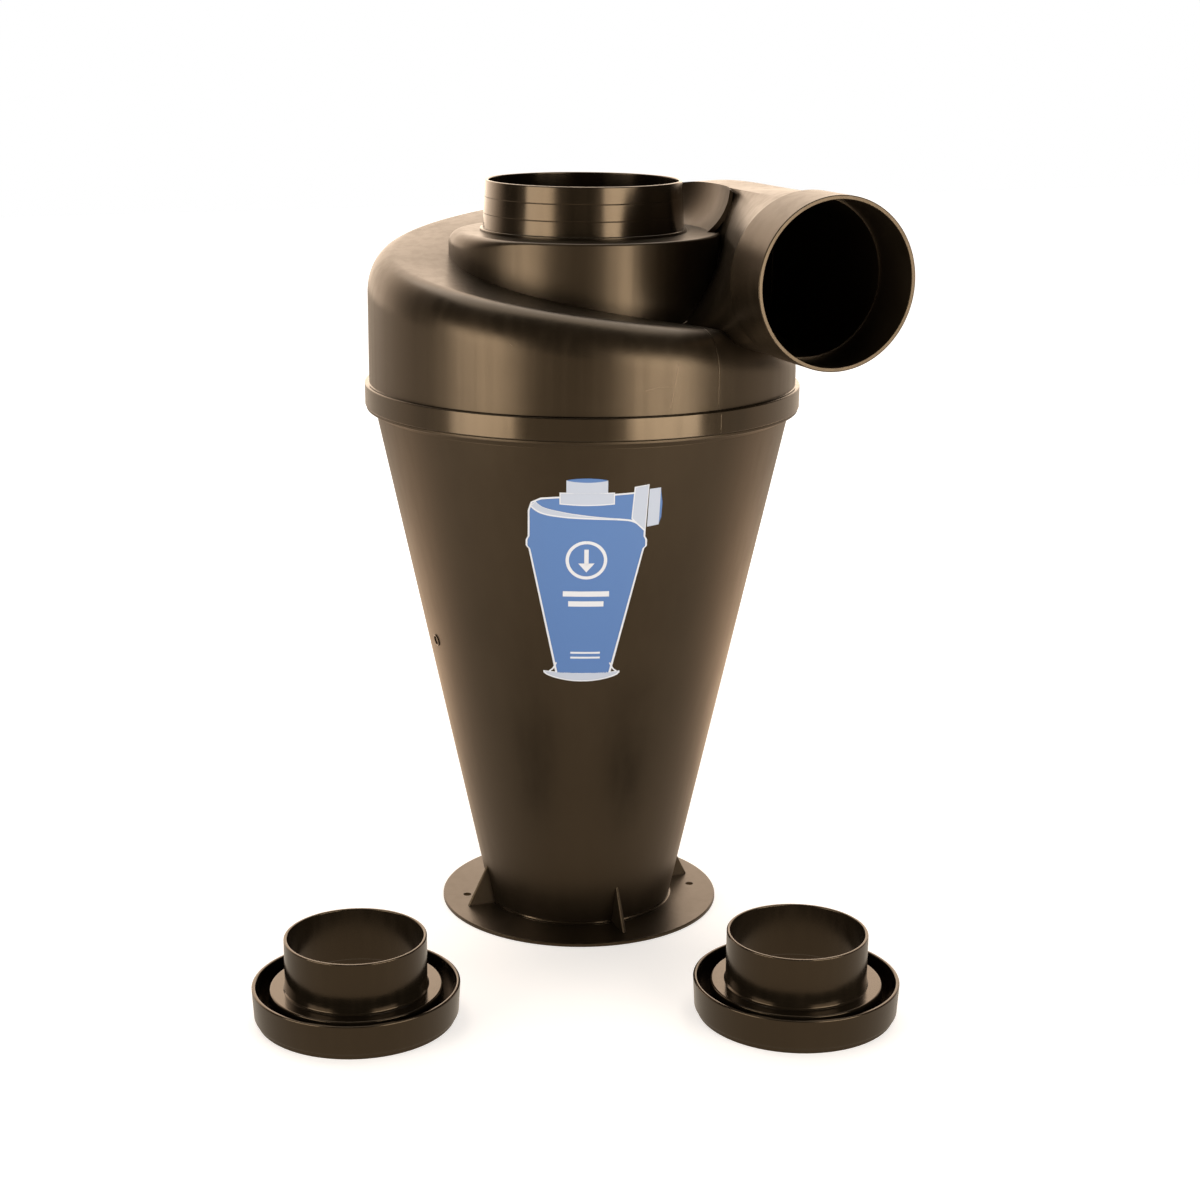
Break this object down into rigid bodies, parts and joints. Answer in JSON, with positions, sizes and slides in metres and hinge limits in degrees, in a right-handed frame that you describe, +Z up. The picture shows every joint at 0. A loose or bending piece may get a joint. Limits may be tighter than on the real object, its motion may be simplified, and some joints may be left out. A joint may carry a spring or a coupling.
{
  "type": "cyclone dust separator",
  "caption": "Moulded cyclone dust separator: cone on a base flange, spiral-roof head with a tangential round inlet and a central outlet, and loose port reducers.",
  "frame": {"origin": "centre of the dust outlet at the underside of the base flange", "axes": "+Z up along the cone's axis; -Y the way the inlet opens, on the +X side"},
  "size_m": [0.4799, 0.5078, 0.5844],
  "materials": {
    "body_plastic": "satin moulded dark brown-black plastic",
    "gloss_plastic": "glossy moulded dark brown-black plastic",
    "label_vinyl": "printed vinyl, blue with white lines"
  },
  "bodies": {
    "separator": {"base_flange": "body_plastic", "gusset_right": "body_plastic", "gusset_back": "body_plastic", "gusset_left": "body_plastic", "gusset_front": "body_plastic", "lower_cone": "body_plastic", "gate_boss": "body_plastic", "cone_rim": "body_plastic", "joint_band": "gloss_plastic", "head_barrel": "body_plastic", "helical_roof": "body_plastic", "pedestal_wall": "body_plastic", "outlet_deck": "body_plastic", "outlet_foot_ring": "gloss_plastic", "outlet_collar": "gloss_plastic", "outlet_tube": "body_plastic", "inlet_duct": "body_plastic", "inlet_collar": "gloss_plastic", "label": "label_vinyl"},
    "reducer_a": {"reducer_a_tube": "gloss_plastic", "reducer_a_shoulder": "gloss_plastic", "reducer_a_floor": "gloss_plastic", "reducer_a_rim": "gloss_plastic", "reducer_a_spigot": "gloss_plastic"},
    "reducer_b": {"reducer_b_tube": "gloss_plastic", "reducer_b_shoulder": "gloss_plastic", "reducer_b_floor": "gloss_plastic", "reducer_b_rim": "gloss_plastic", "reducer_b_spigot": "gloss_plastic"}
  },
  "joints": [
    {"name": "reducer_a_slide", "type": "slide", "parent": "separator", "child": "reducer_a", "axis": [0, -1, 0], "range_m": [0, 0.15]},
    {"name": "reducer_b_slide", "type": "slide", "parent": "separator", "child": "reducer_b", "axis": [0, -1, 0], "range_m": [0, 0.15]}
  ]
}
